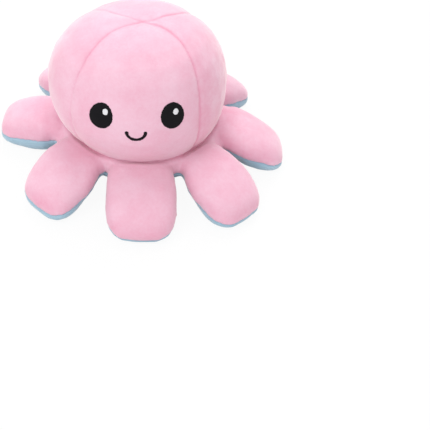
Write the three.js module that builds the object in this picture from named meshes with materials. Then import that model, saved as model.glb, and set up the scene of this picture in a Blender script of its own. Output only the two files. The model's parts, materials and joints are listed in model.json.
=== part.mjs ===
// A reversible plush octopus, in millimetres, +Z up. The origin is on the floor under the middle
// of the head, and the smiling face looks towards -Y. A pink skin is outside, a blue skin lines the
// pocket under the head and the underside of the arms, and soft fibre filling lies between the two.
import * as THREE from 'three';

// Cloth and sewing
const clothThickness = 1.6;
const seamGap = 0.3;
const patchThickness = 0.9;
const panelTipRadius = 0.6;
const weldShare = 0.01;

// Head: a full round crown over a slightly flatter chin, closed at the neck seam
const headRadius = 60.5;
const widestHeight = 56.9;
const crownRise = 48.9;
const neckHeight = 28.6;
const neckTuck = 8.7;
const crownFullness = 2.42;
const chinFullness = 2.2;
const seamDentShare = 0.022;
const headSway = -3.2;
const seamBow = 28;
const seamBowReachShare = 0.96;
const seamBowFullness = 1.3;

// Pocket that the whole toy turns inside out through
const pocketHeight = 64;
const pocketFullness = 1.7;

// Rings of cloth that the arms are sewn to. The arms hold the mouth ring off the floor.
const neckBandProud = 0.2;
const shoulderDepth = 4;
const mouthRise = 9;
const mouthRingWidth = 10;

// Arms: the fold line at the root, then a swollen, square-tipped pad
const padLength = 35;
const armRunningGap = 0.5;
const rootRadius = 13.5;
const hingeHeight = 15.5;
const rootHalfWidth = 20.6;
const rootCornerShare = 0.14;
const armHalfWidth = 24;
const armRise = 15.6;
const tipSeamHeight = 6.2;
const floorFlatDepth = 2;
const swellShare = 0.5;
const riseShare = 0.3;
const tipFullness = 3.8;
const crestFullness = 2.6;
const rootFullness = 3.2;
const padFullness = 2.5;

// Each arm by its place round the body, counted from the face: shares of the common length and of
// the common half widths at the root and the pad, and how far the stuffing pushes the root and the
// tip to one side, as shares of the half width.
const armShares = [
  armShare('arm_front', 0.98, [1.09, 1], [0.08, 0.12]),
  armShare('arm_front_right', 1.12, [0.86, 0.98], [0.12, -0.13]),
  armShare('arm_right', 0.98, [1, 0.9], [0, -0.45]),
  armShare('arm_back_right', 0.88, [1, 0.93], [0, -0.2]),
  armShare('arm_back', 1, [1, 1], [0, 0]),
  armShare('arm_back_left', 1.03, [1, 0.93], [0, -0.15]),
  armShare('arm_left', 0.93, [1, 0.87], [0, -0.38]),
  armShare('arm_front_left', 0.95, [1, 0.98], [0, 0.28]),
];

// Smiling face, embroidered on the front of the head
const faceTilt = 1.9;
const faceAside = 1.3;
const eyeSpread = 23.4;
const eyeHeight = 69.1;
const eyeHalfWidth = 8.1;
const eyeHalfHeight = 9.3;
const eyeLean = 15;
const glintHalfWidth = 1.85;
const glintHalfHeight = 2.3;
const smileAside = -0.6;
const smileHalfWidth = 6;
const smileDepth = 5.3;
const smileHeight = 60.2;
const smileLine = 2.4;

// Where the glint lies in each eye: how far aside of the eye's middle and how far above it
const glintPlaces = {
  left: [3.2, 3.9],
  right: [1.6, 2.7],
};

// Cross face, embroidered on the lining
const liningStandoff = 0.7;
const crossEyeSpread = 14.6;
const crossEyeHeight = 34;
const crossEyeHalfWidth = 9.3;
const crossEyeDepth = 17;
const crossEyeFullness = 2.5;
const crossEyeSlant = 10;
const crossGlintAside = 2.5;
const crossGlintClimb = 2.6;
const frownHalfWidth = 6.2;
const frownDepth = 5.4;
const frownHeight = 17;
const frownLine = 2.3;
const strokeEndFullness = 12;
const strokeEndShare = 0.5;

// Faces round and along each shape
const panelCount = 4;
const panelColumns = 8;
const panelRows = 9;
const liningRows = 8;
const rootColumns = 3;
const padColumns = 6;
const sectionRows = 6;
const eyeColumns = 6;
const eyeRows = 8;
const glintColumns = 4;
const glintRows = 4;
const strokeColumns = 12;
const strokeRows = 2;

const quarterTurn = Math.PI / 2;
const halfTurn = Math.PI;
const fullTurn = 2 * Math.PI;
const radians = THREE.MathUtils.degToRad;
const blend = THREE.MathUtils.lerp;
const frontAzimuth = -quarterTurn;
const panelAngle = fullTurn / panelCount;
const armAngle = fullTurn / armShares.length;
const neckRadius = headRadius - neckTuck;
const chinDrop = (widestHeight - neckHeight) / roundedEnd(neckRadius / headRadius, chinFullness);
const neckBandRadius = neckRadius + neckBandProud;
const shoulderRadius = neckBandRadius + shoulderDepth;
const mouthRadius = neckBandRadius - mouthRingWidth;
const crownHeight = widestHeight + crownRise;
const hingeReach = neckBandRadius + armRunningGap + rootRadius;

const pinkPlush = new THREE.MeshStandardMaterial({ color: 0xf7c0d4, roughness: 0.95 });
const bluePlush = new THREE.MeshStandardMaterial({ color: 0x9fd6e4, roughness: 0.95 });
const fibreFill = new THREE.MeshStandardMaterial({ color: 0xf4f2ee, roughness: 1 });
const blackThread = new THREE.MeshStandardMaterial({ color: 0x232126, roughness: 0.6 });
const whiteThread = new THREE.MeshStandardMaterial({ color: 0xf6f4f4, roughness: 0.6 });

function armShare(name, lengthShare, [rootShare, padShare], [rootLeanShare, tipLeanShare]) {
  return { name, lengthShare, rootShare, padShare, rootLeanShare, tipLeanShare };
}

// Geometry from loops of corner points, without the triangles that close up to nothing
function closedGeometry(faces) {
  const places = [];
  for (const face of faces) {
    for (let turn = 1; turn + 1 < face.length; turn += 1) {
      const corners = [face[0], face[turn], face[turn + 1]];
      if (cornersDiffer(corners)) {
        corners.forEach((corner) => places.push(...corner.toArray()));
      }
    }
  }
  const geometry = new THREE.BufferGeometry();
  geometry.setAttribute('position', new THREE.Float32BufferAttribute(places, 3));
  geometry.computeVertexNormals();
  return geometry;
}

function cornersDiffer([first, second, third]) {
  const weld = seamGap * weldShare;
  const apart = (from, to) => from.distanceTo(to) > weld;
  return apart(first, second) && apart(second, third) && apart(third, first);
}

// A closed sheet between two surfaces, each a function of a share across and a share up
function sheetSolid(front, back, columns, rows) {
  const faces = [];
  const at = (surface, column, row) => surface(column / columns, row / rows);
  for (let row = 0; row < rows; row += 1) {
    for (let column = 0; column < columns; column += 1) {
      faces.push([
        at(front, column, row), at(front, column + 1, row),
        at(front, column + 1, row + 1), at(front, column, row + 1),
      ]);
      faces.push([
        at(back, column, row), at(back, column, row + 1),
        at(back, column + 1, row + 1), at(back, column + 1, row),
      ]);
    }
    faces.push([
      at(front, 0, row), at(front, 0, row + 1), at(back, 0, row + 1), at(back, 0, row),
    ]);
    faces.push([
      at(front, columns, row + 1), at(front, columns, row),
      at(back, columns, row), at(back, columns, row + 1),
    ]);
  }
  for (let column = 0; column < columns; column += 1) {
    faces.push([
      at(front, column + 1, 0), at(front, column, 0), at(back, column, 0), at(back, column + 1, 0),
    ]);
    faces.push([
      at(front, column, rows), at(front, column + 1, rows),
      at(back, column + 1, rows), at(back, column, rows),
    ]);
  }
  return closedGeometry(faces);
}

// A closed shape round the Z axis. The profile runs up the outside and down the inside.
function spunSolid(profileAt) {
  const columns = panelCount * panelColumns;
  const faces = [];
  for (let column = 0; column < columns; column += 1) {
    const here = profileAt(column / panelColumns);
    const next = profileAt(((column + 1) % columns) / panelColumns);
    here.forEach((corner, step) => {
      const after = (step + 1) % here.length;
      faces.push([corner, next[step], next[after], here[after]]);
    });
  }
  return closedGeometry(faces);
}

function placeAround(radius, azimuth, height) {
  return new THREE.Vector3(radius * Math.cos(azimuth), radius * Math.sin(azimuth), height);
}

function signedPower(value, power) {
  return Math.sign(value) * Math.abs(value) ** power;
}

// The share of full size that is left at a share of the way to a rounded end
function roundedEnd(share, fullness) {
  return (1 - Math.min(share, 1) ** fullness) ** (1 / fullness);
}

// How far the head's skin and the lining lie from the axis at a height
function headRadiusAt(height) {
  const rise = height - widestHeight;
  if (rise > 0) return headRadius * roundedEnd(rise / crownRise, crownFullness);
  return headRadius * roundedEnd(-rise / chinDrop, chinFullness);
}

function pocketRadiusAt(height) {
  return mouthRadius * roundedEnd(height / pocketHeight, pocketFullness);
}

// Azimuth of a point counted in panels from the first panel's left seam
function panelAzimuth(panels) {
  return frontAzimuth + (panels - 1 / 2) * panelAngle;
}

// The four panels swell between their seams
function seamDent(panels) {
  const fromSeam = 2 * Math.abs(panels - Math.round(panels));
  return 1 - seamDentShare * (1 - fromSeam) ** 3;
}

// Heights and radii down the head from its crown to the neck seam, as a share of that way
function headProfile(share, lift) {
  const fullRadius = headRadius + lift;
  const startAngle = Math.asin((panelTipRadius / fullRadius) ** (crownFullness / 2));
  const chinShare = (widestHeight - neckHeight) / (chinDrop + lift);
  const endAngle = quarterTurn + Math.asin(chinShare ** (chinFullness / 2));
  const angle = blend(startAngle, endAngle, share);
  const crown = angle <= quarterTurn;
  const fullness = crown ? crownFullness : chinFullness;
  const rise = crown ? crownRise + lift : chinDrop + lift;
  return {
    radius: fullRadius * Math.sin(angle) ** (2 / fullness),
    height: widestHeight + rise * signedPower(Math.cos(angle), 2 / fullness),
  };
}

// How far the filling pushes the head to one side at a height between the neck seam and the crown
function swayAt(height) {
  const share = (height - neckHeight) / (crownHeight - neckHeight);
  return headSway * 4 * share * (1 - share);
}

// Heights and radii up the pocket from its mouth to its top, as a share of that way
function pocketProfile(share, lift) {
  const start = mouthRingTop() / (pocketHeight + lift);
  const startAngle = Math.asin(start ** (pocketFullness / 2));
  const tipShare = panelTipRadius / (mouthRadius + lift);
  const endAngle = Math.acos(tipShare ** (pocketFullness / 2));
  const angle = blend(startAngle, endAngle, share);
  return {
    radius: (mouthRadius + lift) * Math.cos(angle) ** (2 / pocketFullness),
    height: (pocketHeight + lift) * Math.sin(angle) ** (2 / pocketFullness),
  };
}

function mouthRingTop() {
  return mouthRise + clothThickness + seamGap;
}

// A point of a panel, whose two side edges keep half a seam gap to the next panels
function panelPoint(panel, across, radius, height) {
  const edge = Math.asin(seamGap / 2 / radius) / panelAngle;
  const panels = panel + blend(edge, 1 - edge, across);
  return placeAround(radius * seamDent(panel + across), panelAzimuth(panels), height);
}

function headPanel(panel) {
  const surface = (lift) => (across, up) => {
    const { radius, height } = headProfile(1 - up, lift);
    const point = panelPoint(panel, across, radius, height);
    return swayed(bowed(point, panel + across, up), up);
  };
  return sheetSolid(surface(0), surface(-clothThickness), panelColumns, panelRows);
}

// The front and back panels of the head widen towards the crown, and the other two narrow
function bowed(point, panels, up) {
  const { radius, height } = headProfile(1 - up, 0);
  const room = Math.max(1 - radius / (headRadius * seamBowReachShare), 0);
  const bow = height > widestHeight ? radians(seamBow) * room ** seamBowFullness : 0;
  const turn = -bow * Math.cos(halfTurn * panels);
  return point.applyAxisAngle(new THREE.Vector3(0, 0, 1), turn);
}

// A point of the head at a share of the way up to the crown, pushed aside with the skin over it
function swayed(point, up) {
  return point.setX(point.x + swayAt(headProfile(1 - up, 0).height));
}

function liningPanel(panel) {
  const surface = (lift) => (across, up) => {
    const { radius, height } = pocketProfile(up, lift);
    return panelPoint(panel, across, radius, height);
  };
  return sheetSolid(surface(clothThickness), surface(0), panelColumns, liningRows);
}

// The filling of the head stands on the mouth ring and fills the space between the two skins
function headFilling() {
  const inset = clothThickness + seamGap;
  const wallRadius = neckBandRadius - clothThickness - seamGap;
  return spunSolid((panels) => {
    const azimuth = panelAzimuth(panels);
    const dent = seamDent(panels);
    const profile = [placeAround(wallRadius * dent, azimuth, mouthRingTop())];
    for (let row = 0; row < panelRows; row += 1) {
      const up = row / panelRows;
      const { radius, height } = headProfile(1 - up, -inset);
      profile.push(swayed(bowed(placeAround(radius * dent, azimuth, height), panels, up), up));
    }
    profile.push(placeAround(0, azimuth, crownHeight - inset));
    profile.push(placeAround(0, azimuth, pocketHeight + inset));
    for (let row = liningRows - 1; row >= 0; row -= 1) {
      const { radius, height } = pocketProfile(row / liningRows, inset);
      profile.push(placeAround(radius * dent, azimuth, height));
    }
    return profile;
  });
}

// A ring of cloth between two radii and two heights
function flatRing(innerRadius, outerRadius, low, high) {
  return spunSolid((panels) => {
    const azimuth = panelAzimuth(panels);
    return [
      placeAround(outerRadius, azimuth, low),
      placeAround(outerRadius, azimuth, high),
      placeAround(innerRadius, azimuth, high),
      placeAround(innerRadius, azimuth, low),
    ];
  });
}

// The cloth between the neck seam and the roots of the arms: a flat shoulder over an upright band
function neckShoulder() {
  const high = neckHeight - seamGap;
  return flatRing(neckBandRadius - clothThickness, shoulderRadius, high - clothThickness, high);
}

function neckBand() {
  const high = neckHeight - seamGap - clothThickness - seamGap;
  return flatRing(neckBandRadius - clothThickness, neckBandRadius, mouthRingTop(), high);
}

// The flat cloth between the mouth of the pocket and the arms' undersides
function mouthRing() {
  return flatRing(mouthRadius, neckBandRadius, mouthRise, mouthRise + clothThickness);
}

// Size of an arm at one of its stations, counted from the wall: round the root, then out to the tip
function armStation(arm, station, inset) {
  const rootWide = rootHalfWidth * arm.rootShare;
  if (station <= rootColumns) {
    const turn = quarterTurn * (1 - station / rootColumns);
    const swell = (rootRadius - inset) * Math.cos(turn);
    return {
      reach: hingeReach - (rootRadius - inset) * Math.sin(turn),
      aside: armHalfWidth * arm.rootLeanShare,
      halfWidth: (rootWide - inset) * (1 - rootCornerShare * Math.sin(turn) ** 2),
      seam: hingeHeight,
      rise: swell,
      fall: swell,
      fullness: rootFullness,
    };
  }
  const along = Math.sin(quarterTurn * (station - rootColumns) / padColumns);
  const widen = Math.sin(quarterTurn * Math.min(along / swellShare, 1));
  const raise = Math.sin(quarterTurn * Math.min(along / riseShare, 1));
  const seam = blend(hingeHeight, tipSeamHeight, along);
  const rise = blend(rootRadius, armRise, raise);
  const fall = blend(rootRadius, seam + floorFlatDepth, raise);
  const wide = blend(rootWide, armHalfWidth * arm.padShare, widen);
  const leanShare = blend(arm.rootLeanShare, arm.tipLeanShare, Math.sin(quarterTurn * along));
  return {
    reach: hingeReach + (padLength * arm.lengthShare - inset) * along,
    aside: armHalfWidth * leanShare,
    halfWidth: (wide - inset) * roundedEnd(along, tipFullness),
    seam,
    rise: (rise - inset) * roundedEnd(along, crestFullness),
    fall: (fall - inset) * roundedEnd(along, tipFullness),
    fullness: blend(rootFullness, padFullness, widen),
  };
}

// The upper or lower surface of an arm. Side is 1 above the seam and -1 below it.
function armSurface(arm, side, inset, split) {
  const floor = inset;
  return (along, across) => {
    const station = along * (rootColumns + padColumns);
    const section = armStation(arm, station, inset);
    const angle = halfTurn * across;
    const power = 2 / section.fullness;
    const wide = -section.halfWidth * signedPower(Math.cos(angle), power);
    const swell = Math.max((side > 0 ? section.rise : section.fall) - split, 0);
    const height = section.seam + side * (split + swell * Math.sin(angle) ** power);
    return new THREE.Vector3(section.reach, section.aside + wide, Math.max(height, floor));
  };
}

function armTop(arm) {
  const split = seamGap / 2;
  const outer = armSurface(arm, 1, 0, split);
  const inner = armSurface(arm, 1, clothThickness, split);
  return sheetSolid(outer, inner, rootColumns + padColumns, sectionRows);
}

function armUnderside(arm) {
  const split = seamGap / 2;
  const inner = armSurface(arm, -1, clothThickness, split);
  const outer = armSurface(arm, -1, 0, split);
  return sheetSolid(inner, outer, rootColumns + padColumns, sectionRows);
}

function armFilling(arm) {
  const inset = clothThickness + seamGap;
  const upper = armSurface(arm, 1, inset, 0);
  const lower = armSurface(arm, -1, inset, 0);
  return sheetSolid(upper, lower, rootColumns + padColumns, sectionRows);
}

// A point that lies aside of the middle of the front panel, lifted off a wall of a given radius
function frontPoint({ aside, height }, wallRadius, lift) {
  const panels = 1 / 2 + aside / wallRadius / panelAngle;
  return placeAround(wallRadius * seamDent(panels) + lift, panelAzimuth(panels), height);
}

// A thin embroidered patch that follows the outside of the head, tilted with the whole face
function headPatch(outline, columns, rows, standoff) {
  const tilt = radians(faceTilt);
  const layer = (lift) => (across, up) => {
    const drawn = outline(across, up);
    const rise = drawn.height - smileHeight;
    const place = {
      aside: faceAside + drawn.aside * Math.cos(tilt) - rise * Math.sin(tilt),
      height: smileHeight + drawn.aside * Math.sin(tilt) + rise * Math.cos(tilt),
    };
    const point = frontPoint(place, headRadiusAt(place.height), lift);
    return point.setX(point.x + swayAt(place.height));
  };
  return sheetSolid(layer(standoff + patchThickness), layer(standoff), columns, rows);
}

// The same on the pocket side of the lining
function liningPatch(outline, columns, rows, standoff) {
  const layer = (sink) => (across, up) => {
    const place = outline(across, up);
    return frontPoint(place, pocketRadiusAt(place.height), -sink);
  };
  return sheetSolid(layer(standoff), layer(standoff + patchThickness), columns, rows);
}

// Outlines give how far aside of the face's middle and how high a patch's points lie
function ovalOutline(middle, height, halfWidth, halfHeight, lean) {
  const turn = radians(lean);
  return (across, up) => {
    const angle = blend(-quarterTurn, quarterTurn, up);
    const wide = blend(-halfWidth, halfWidth, across) * Math.cos(angle);
    const tall = halfHeight * Math.sin(angle);
    return {
      aside: middle + wide * Math.cos(turn) - tall * Math.sin(turn),
      height: height + wide * Math.sin(turn) + tall * Math.cos(turn),
    };
  };
}

// A bowl under a straight brow that rises by a slant towards the outer corner
function browOutline(middle, height) {
  const slant = radians(crossEyeSlant) * Math.sign(middle);
  return (across, up) => {
    const angle = quarterTurn * up;
    const halfWidth = crossEyeHalfWidth * Math.sin(angle) ** (2 / crossEyeFullness);
    const wide = blend(-halfWidth, halfWidth, across);
    const drop = crossEyeDepth * Math.cos(angle) ** (2 / crossEyeFullness);
    const tall = crossEyeDepth / 2 - drop;
    return {
      aside: middle + wide * Math.cos(slant) - tall * Math.sin(slant),
      height: height + wide * Math.sin(slant) + tall * Math.cos(slant),
    };
  };
}

// A stroke of thread along half an oval: depth below the height for a smile, above for a frown
function strokeOutline(middle, height, halfWidth, depth, line) {
  return (across, up) => {
    const angle = halfTurn * across;
    const tangent = new THREE.Vector2(
      halfWidth * Math.sin(angle),
      -depth * Math.cos(angle),
    ).normalize();
    const roundEnd = roundedEnd(Math.abs(2 * across - 1), strokeEndFullness);
    const off = line * (up - 1 / 2) * Math.max(roundEnd, strokeEndShare);
    return {
      aside: middle - halfWidth * Math.cos(angle) - off * tangent.y,
      height: height - depth * Math.sin(angle) + off * tangent.x,
    };
  };
}

const octopus = new THREE.Group();

function addPiece(parent, name, geometry, material) {
  const piece = new THREE.Mesh(geometry, material);
  piece.name = name;
  parent.add(piece);
}

function addHead() {
  const sides = ['front', 'right', 'back', 'left'];
  sides.forEach((side, panel) => {
    addPiece(octopus, `head_${side}`, headPanel(panel), pinkPlush);
    addPiece(octopus, `lining_${side}`, liningPanel(panel), bluePlush);
  });
  addPiece(octopus, 'head_filling', headFilling(), fibreFill);
  addPiece(octopus, 'neck_shoulder', neckShoulder(), pinkPlush);
  addPiece(octopus, 'neck_band', neckBand(), pinkPlush);
  addPiece(octopus, 'mouth_ring', mouthRing(), bluePlush);
}

function addArms() {
  armShares.forEach((arm, place) => {
    const group = new THREE.Group();
    group.rotation.z = place * armAngle - quarterTurn;
    octopus.add(group);
    addPiece(group, `${arm.name}_top`, armTop(arm), pinkPlush);
    addPiece(group, `${arm.name}_underside`, armUnderside(arm), bluePlush);
    addPiece(group, `${arm.name}_filling`, armFilling(arm), fibreFill);
  });
}

function addSmilingFace() {
  const glintStandoff = seamGap + patchThickness + seamGap;
  for (const [side, sign] of [['left', -1], ['right', 1]]) {
    const middle = sign * eyeSpread;
    const eye = ovalOutline(middle, eyeHeight, eyeHalfWidth, eyeHalfHeight, sign * eyeLean);
    addPiece(octopus, `eye_${side}`, headPatch(eye, eyeColumns, eyeRows, seamGap), blackThread);
    const [glintAside, glintClimb] = glintPlaces[side];
    const glint = ovalOutline(
      middle + glintAside,
      eyeHeight + glintClimb,
      glintHalfWidth,
      glintHalfHeight,
      0,
    );
    const glintPatch = headPatch(glint, glintColumns, glintRows, glintStandoff);
    addPiece(octopus, `glint_${side}`, glintPatch, whiteThread);
  }
  const smile = strokeOutline(smileAside, smileHeight, smileHalfWidth, smileDepth, smileLine);
  addPiece(octopus, 'smile', headPatch(smile, strokeColumns, strokeRows, seamGap), blackThread);
}

// Seen from inside the pocket, left and right change places
function addCrossFace() {
  const glintStandoff = liningStandoff + patchThickness + seamGap;
  for (const [side, sign] of [['left', 1], ['right', -1]]) {
    const middle = sign * crossEyeSpread;
    const eye = browOutline(middle, crossEyeHeight);
    const eyePatch = liningPatch(eye, eyeColumns, eyeRows, liningStandoff);
    addPiece(octopus, `cross_eye_${side}`, eyePatch, blackThread);
    const glint = ovalOutline(
      middle - crossGlintAside,
      crossEyeHeight + crossGlintClimb,
      glintHalfWidth,
      glintHalfHeight,
      0,
    );
    const glintPatch = liningPatch(glint, glintColumns, glintRows, glintStandoff);
    addPiece(octopus, `cross_glint_${side}`, glintPatch, whiteThread);
  }
  const frown = strokeOutline(0, frownHeight, frownHalfWidth, -frownDepth, frownLine);
  const frownPatch = liningPatch(frown, strokeColumns, strokeRows, liningStandoff);
  addPiece(octopus, 'frown', frownPatch, blackThread);
}

addHead();
addArms();
addSmilingFace();
addCrossFace();

export default octopus;
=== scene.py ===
"""A reversible plush octopus in velour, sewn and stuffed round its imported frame, all in metres."""

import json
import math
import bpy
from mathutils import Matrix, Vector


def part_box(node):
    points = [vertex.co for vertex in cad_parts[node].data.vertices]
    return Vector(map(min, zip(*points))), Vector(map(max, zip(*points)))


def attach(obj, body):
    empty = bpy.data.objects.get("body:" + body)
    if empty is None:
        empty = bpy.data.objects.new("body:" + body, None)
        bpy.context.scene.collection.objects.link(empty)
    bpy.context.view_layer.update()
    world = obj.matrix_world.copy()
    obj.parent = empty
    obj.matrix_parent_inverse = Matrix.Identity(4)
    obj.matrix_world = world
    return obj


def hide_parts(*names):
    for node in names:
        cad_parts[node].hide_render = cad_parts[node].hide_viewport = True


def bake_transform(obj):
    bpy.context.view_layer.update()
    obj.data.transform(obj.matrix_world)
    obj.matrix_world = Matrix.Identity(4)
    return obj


bl_info = {
    "name": "Plush octopus",
    "version": (1, 0, 0),
    "blender": (4, 5, 0),
    "location": "View3D > Sidebar > Octopus",
    "description": "Sews, stuffs and embroiders a reversible plush octopus",
    "category": "Add Mesh",
}

import bmesh
import bpy
import numpy as np
from bpy.props import FloatProperty, FloatVectorProperty, IntProperty, PointerProperty
from mathutils import Matrix, Vector, noise
from mathutils.bvhtree import BVHTree
from mathutils.kdtree import KDTree

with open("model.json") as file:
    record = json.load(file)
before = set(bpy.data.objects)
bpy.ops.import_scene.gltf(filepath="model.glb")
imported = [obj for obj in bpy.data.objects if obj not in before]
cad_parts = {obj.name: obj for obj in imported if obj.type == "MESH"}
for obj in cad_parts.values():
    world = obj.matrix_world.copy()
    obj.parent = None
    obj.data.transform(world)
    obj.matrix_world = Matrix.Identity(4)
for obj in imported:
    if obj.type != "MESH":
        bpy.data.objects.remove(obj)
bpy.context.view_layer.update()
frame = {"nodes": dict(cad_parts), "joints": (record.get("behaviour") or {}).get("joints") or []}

MM = 0.001
WELD = 0.001 * MM

SIDES = ("front", "right", "back", "left")
ARMS = {joint["child"]: Vector(joint["pos_m"]) for joint in frame["joints"]}
ARM_NAMES = list(ARMS)
HINGE_HEIGHT = ARMS["arm_front"].z
HINGE_REACH = ARMS["arm_front"].to_2d().length
NECK_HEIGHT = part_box("neck_shoulder")[1].z
NECK_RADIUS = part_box("neck_band")[1].x
CROWN_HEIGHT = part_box("head_front")[1].z
TIP_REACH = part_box("arm_back_top")[1].y
WEB_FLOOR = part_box("head_filling")[0].z
CLOTH_LIFT = 1.9 * MM
HEAD_SWAY = -3.2 * MM
WIDEST_HEIGHT = 57 * MM

# Directions round the body, in degrees from +X
FRONT_AZIMUTH = -90.0
PANEL_ANGLE = 360.0 / len(SIDES)
ARM_ANGLE = 360.0 / len(ARMS)

# The seams of the front and back panels swing outwards, by this many degrees at the crown
SEAM_BOW = 28.0
SEAM_BOW_REACH = 58 * MM
SEAM_BOW_FULLNESS = 1.3

# Where one piece of cloth meets the next
NECK_SLOPE_SHARE = 0.5
NECK_NEAR_RADIUS = 46 * MM
POCKET_RADIUS = 45 * MM
POCKET_HEIGHT = 70 * MM
POCKET_FULLNESS = 1.7
BAND_RADIUS = 54.5 * MM
RING_RADIUS = 53 * MM
TIP_SEAM_HEIGHT = 6.2 * MM
FRONT_TIP_SEAM_DROP = 2.6 * MM
FORK_SEAM_RISE = 1.5 * MM
FORK_SEAM_REACH = 10 * MM
ARM_NEAR_RADIUS = 50 * MM
FORK_NEAR_RADIUS = 52 * MM

# The web of filling between the arms: a wedge under the neck whose edge is the fork of two arms
WEB_RADIUS = 52.2 * MM
WEB_EDGE_LOW = 16 * MM
WEB_EDGE_HIGH = 18 * MM
WEB_TOP_RADIUS = 50.5 * MM
WEB_TOP_HEIGHT = 26.5 * MM
WEB_FLOOR_RADIUS = 48 * MM
WEB_WIDTH = 5 * MM
WEB_BACK_GROWTH = 9 * MM
WEB_GROWTH_STEEPNESS = 2.5
WEB_SIDES = 96
ROOT_SHIFT = 9 * MM
ROOT_HEIGHT_SHARE = 0.7

# Faces of the skin are labelled by the piece of cloth that they belong to
CLOTH_NAMES = (
    [f"head_{side}" for side in SIDES]
    + [f"lining_{side}" for side in SIDES]
    + ["neck_band", "mouth_ring"]
    + [f"{arm}_top" for arm in ARM_NAMES]
    + [f"{arm}_underside" for arm in ARM_NAMES]
)
HEAD_LABEL = CLOTH_NAMES.index("head_front")
LINING_LABEL = CLOTH_NAMES.index("lining_front")
BAND_LABEL = CLOTH_NAMES.index("neck_band")
RING_LABEL = CLOTH_NAMES.index("mouth_ring")
TOP_LABEL = CLOTH_NAMES.index(f"{ARM_NAMES[0]}_top")
UNDERSIDE_LABEL = CLOTH_NAMES.index(f"{ARM_NAMES[0]}_underside")

# A loose patch with fewer faces than this goes to the piece of cloth beside it
SCRAP_FACES = 40

# The panels' seams are cut a little past the neck seam and past the pocket's edge
PANEL_MARGIN = 1 * MM
POCKET_MARGIN = 0.1

# The fused filling is smoothed, then smoothed and swollen back in rounds
SMOOTHING = 0.6
FIRST_SMOOTHINGS = 2
SWELLING_BACK = -0.62
SMOOTHING_ROUNDS = 6

# The cloth lifts off the filling between these distances from the neck and mouth seams
LIFT_START = -2 * MM
LIFT_END = 4 * MM

# How the cloth behaves while the filling swells it
CLOTH_PHYSICS = {
    "quality": 4,
    "mass": 0.2,
    "use_pressure": True,
    "tension_stiffness": 15,
    "compression_stiffness": 15,
    "shear_stiffness": 5,
    "bending_stiffness": 0.5,
}

# Each kind of seam: how deep it draws in, how the cloth beside it dips, puckers and rolls, and the shade
# painted along it
SEAMS = {
    "panel": dict(depth=0.45 * MM, dip=0.5 * MM, pucker=0.2 * MM, roll=0.15 * MM, shade=0.9),
    "neck": dict(depth=0.8 * MM, dip=0.3 * MM, pucker=0.35 * MM, roll=0.6 * MM, shade=1),
    "mouth": dict(depth=0.8 * MM, dip=0.3 * MM, pucker=0.8 * MM, roll=0, shade=1),
    "edge": dict(depth=0.8 * MM, dip=0.25 * MM, pucker=0.3 * MM, roll=0.1 * MM, shade=0.7),
}
SEAM_ROWS = (0.45 * MM, 1.1 * MM)
PUCKER_SCALE = 170
ROLL_DISTANCE = 3 * MM
ROLL_WIDTH = 2 * MM
LEAST_DIP = 0.5

# How strongly a seam shows, in its dip and in the shade painted along it: a share everywhere, one that
# varies along it, and one to the right, which makes the painted shade heavier on the right
SHOWN_EVERYWHERE = 0.5
SHOWN_VARYING = 0.6
SHOWN_SCALE = 26
SHOWN_RIGHTWARD = 0.4
SHOWN_LEAST = 0.1

# Painted shade: a dark line along a panel's seam, and a band of shade beside seams, with a paler stripe
# in it that is a painted highlight
PANEL_LINE_WIDTH = 1.2 * MM
SHADE_BAND_WIDTH = 8 * MM
HIGHLIGHT_STRIPE_DISTANCE = 2.6 * MM
HIGHLIGHT_STRIPE_WIDTH = 1.2 * MM
HIGHLIGHT_STRIPE_SHARE = 0.6
# How dark the painted shade is on the right panel, and on the arms' tops, heavier on slopes that face
# the front
RIGHT_PANEL_PAINTED_SHADE = 0.55
ARM_TOP_PAINTED_SHADE = 0.35
ARM_SHADE_EVERYWHERE = 0.5
ARM_SHADE_FORWARD = 0.8

# Soft unevenness of the stuffed cloth, as scales of noise with their heights in millimetres
UNEVENNESS = ((38, 0.45), (110, 0.12))

# The crown, where the four panels meet, dips and is gathered; scales are round the axis and along
CROWN_DIP = 1.4 * MM
CROWN_DIP_WIDTH = 9 * MM
GATHER_HEIGHT = 1.1 * MM
GATHER_RADIUS = 15 * MM
GATHER_WIDTH = 12 * MM
GATHER_SCALES = (2.6, 30)

# The lining lies in folds, which begin above the pocket's mouth
FOLD_HEIGHT = 1.8 * MM
FOLD_START = 2 * MM
FOLD_END = 14 * MM
FOLD_SCALES = (4, 14)

# Noise in the finishes. A range holds the two ends of the noise that count, and what they turn into
NAP_NOISE = {"Scale": 38, "Detail": 3, "Roughness": 0.6}
NAP_RANGE = (0.35, 0.7, 0, 0.44)
GRAIN_NOISE = {"Scale": 560, "Detail": 3, "Roughness": 0.65}
GRAIN_RANGE = (0.3, 0.7, 0, 0.24)
MOTTLE_NOISE = {"Scale": 130, "Detail": 4, "Roughness": 0.66}
MOTTLE_RANGE = (0.37, 0.76, 0, 1)
PILE_NOISE = {"Scale": 1100, "Detail": 3, "Roughness": 0.65}
TWIST_NOISE = {"Scale": 2600, "Detail": 1}
FIBRE_NOISE = {"Scale": 400, "Detail": 4, "Distortion": 2}

# The velour is mottled mostly on the right and above the arms: partly nap patches, partly painted shade
# that darkens the head's right side
MOTTLE_AND_SHADE_RIGHTWARD = (32 * MM, 60 * MM, 0, 1)
MOTTLE_AND_SHADE_UPWARD = (24 * MM, 36 * MM, 0, 1)
MOTTLE_AND_SHADE_SHARE = (0, 1, 0.13, 0.9)

# Relief and surface of each finish
VELOUR_RELIEF = {"Strength": 0.35, "Distance": 0.25 * MM}
VELOUR_SURFACE = {
    "Roughness": 1,
    "Specular IOR Level": 0.1,
    "Sheen Weight": 0.7,
    "Sheen Roughness": 0.4,
    "Sheen Tint": (1, 0.97, 0.93, 1),
}
THREAD_RELIEF = {"Strength": 0.3, "Distance": 0.08 * MM}
THREAD_SURFACE = {"Roughness": 0.5, "Specular IOR Level": 0.12}
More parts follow.
